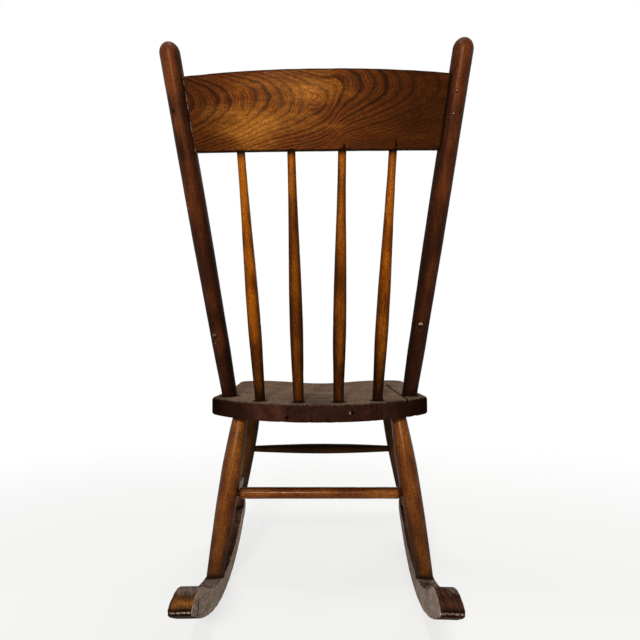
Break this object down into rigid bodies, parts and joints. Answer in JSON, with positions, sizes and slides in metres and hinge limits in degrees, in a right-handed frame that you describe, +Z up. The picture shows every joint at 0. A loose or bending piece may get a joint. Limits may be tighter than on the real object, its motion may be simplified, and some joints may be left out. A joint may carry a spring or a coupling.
{
  "type": "rocking chair",
  "caption": "Armless wooden rocking chair: scooped plank seat, flared round posts, bowed crest board, tapered spindles, swelled legs, round stretchers and curled rockers.",
  "frame": {"origin": "on the floor, at the middle of the chair's bounding box", "axes": "the chair faces -Y, the sitter's left is +X, and +Z is up from the floor"},
  "size_m": [0.4978, 0.6128, 0.9055],
  "materials": {
    "seat_wood": "dull, worn, dark grey-brown",
    "post_wood": "old varnish, dark red-brown",
    "crest_wood": "old varnish over bold figure",
    "spindle_wood": "old varnish, golden brown",
    "leg_wood": "old varnish, golden brown",
    "rocker_wood": "worn, dull brown",
    "pin_metal": "dark old iron"
  },
  "bodies": {
    "root": {"seat": "seat_wood", "left_post": "post_wood", "right_post": "post_wood", "crest_rail": "crest_wood", "spindle_1": "spindle_wood", "spindle_2": "spindle_wood", "spindle_3": "spindle_wood", "spindle_4": "spindle_wood", "left_front_leg": "leg_wood", "right_front_leg": "leg_wood", "left_rear_leg": "leg_wood", "right_rear_leg": "leg_wood", "front_stretcher": "leg_wood", "rear_stretcher": "leg_wood", "left_side_stretcher": "leg_wood", "right_side_stretcher": "leg_wood", "left_rocker": "rocker_wood", "right_rocker": "rocker_wood", "crest_pins": "pin_metal", "stretcher_pins": "pin_metal"}
  },
  "joints": []
}
